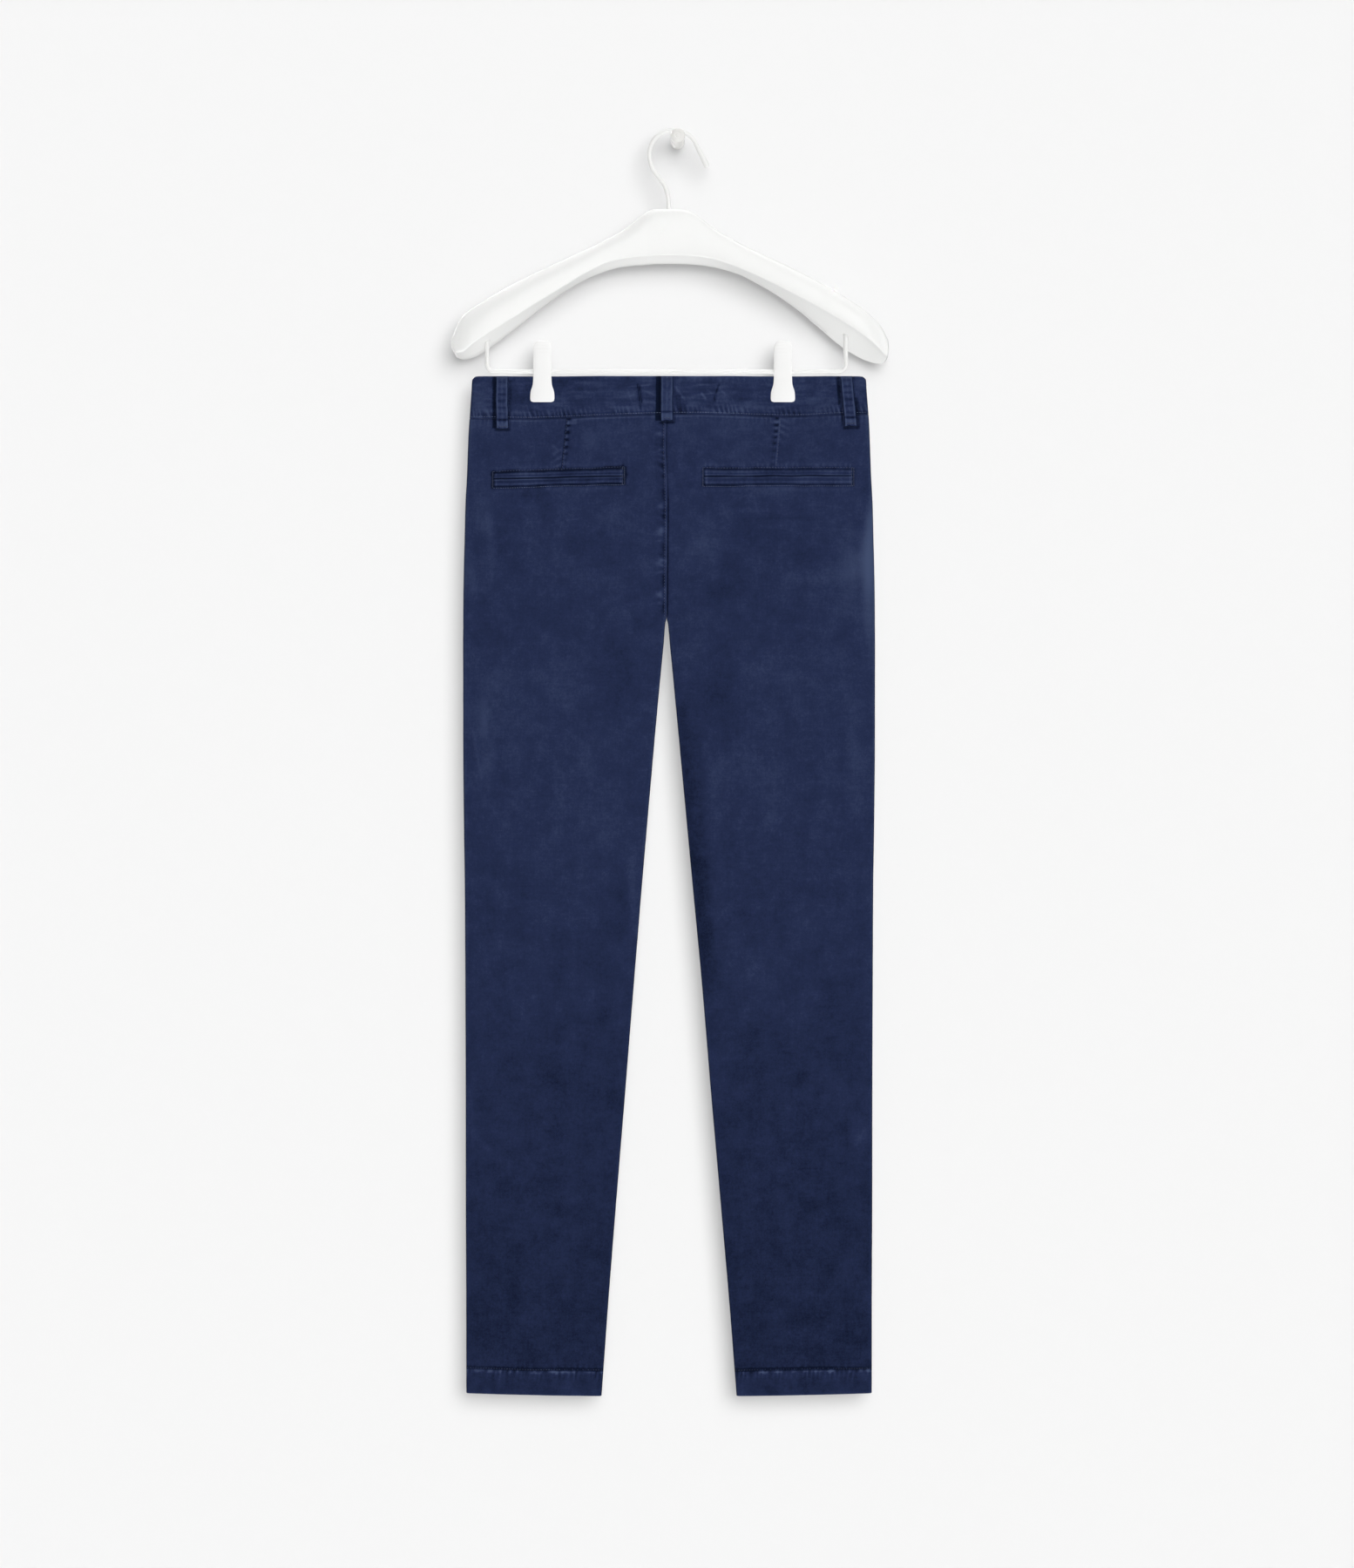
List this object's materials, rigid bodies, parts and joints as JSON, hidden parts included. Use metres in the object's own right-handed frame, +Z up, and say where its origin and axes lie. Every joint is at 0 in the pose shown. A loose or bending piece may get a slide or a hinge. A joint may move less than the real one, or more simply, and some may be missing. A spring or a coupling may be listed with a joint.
{
  "type": "chino trousers on a clip hanger",
  "caption": "Slim navy cotton chino trousers, hung flat with their back to the viewer from a white contoured hanger with clips, which hangs by its hook on a wall peg.",
  "frame": {"origin": "middle of the wall peg's flat back face, on the wall", "axes": "+Z up, +Y into the wall, +X to the right of a viewer in front of the wall, which is the wearer's right"},
  "size_m": [0.4503, 0.055, 1.3099],
  "materials": {
    "navy_twill": "garment-dyed cotton twill, matte, softly mottled",
    "zip_metal": "dull metal teeth on a navy tape",
    "button_resin": "polished dark resin",
    "white_lacquer": "satin white lacquer over wood",
    "white_wire": "white powder coat on steel wire",
    "white_moulding": "satin white moulded plastic",
    "peg_enamel": "pale grey enamel"
  },
  "bodies": {
    "root": {"back_left": "navy_twill", "back_right": "navy_twill", "front_left": "navy_twill", "front_right": "navy_twill", "waistband_left": "navy_twill", "waistband_right": "navy_twill", "belt_loop_back_left": "navy_twill", "belt_loop_back_centre": "navy_twill", "belt_loop_back_right": "navy_twill", "belt_loop_front_left": "navy_twill", "belt_loop_front_right": "navy_twill", "pocket_welt_left_upper": "navy_twill", "pocket_welt_left_lower": "navy_twill", "pocket_welt_right_upper": "navy_twill", "pocket_welt_right_lower": "navy_twill", "hem_left": "navy_twill", "hem_right": "navy_twill", "pocket_edge_left": "navy_twill", "pocket_edge_right": "navy_twill", "fly_flap": "navy_twill", "fly_zip": "zip_metal", "waist_button": "button_resin", "hanger_body": "white_lacquer", "hanger_hook": "white_wire", "trouser_bar": "white_wire", "clip_left_spring": "white_wire", "clip_right_spring": "white_wire", "clip_left_front": "white_moulding", "clip_left_rear": "white_moulding", "clip_right_front": "white_moulding", "clip_right_rear": "white_moulding", "wall_peg": "peg_enamel"}
  },
  "joints": []
}
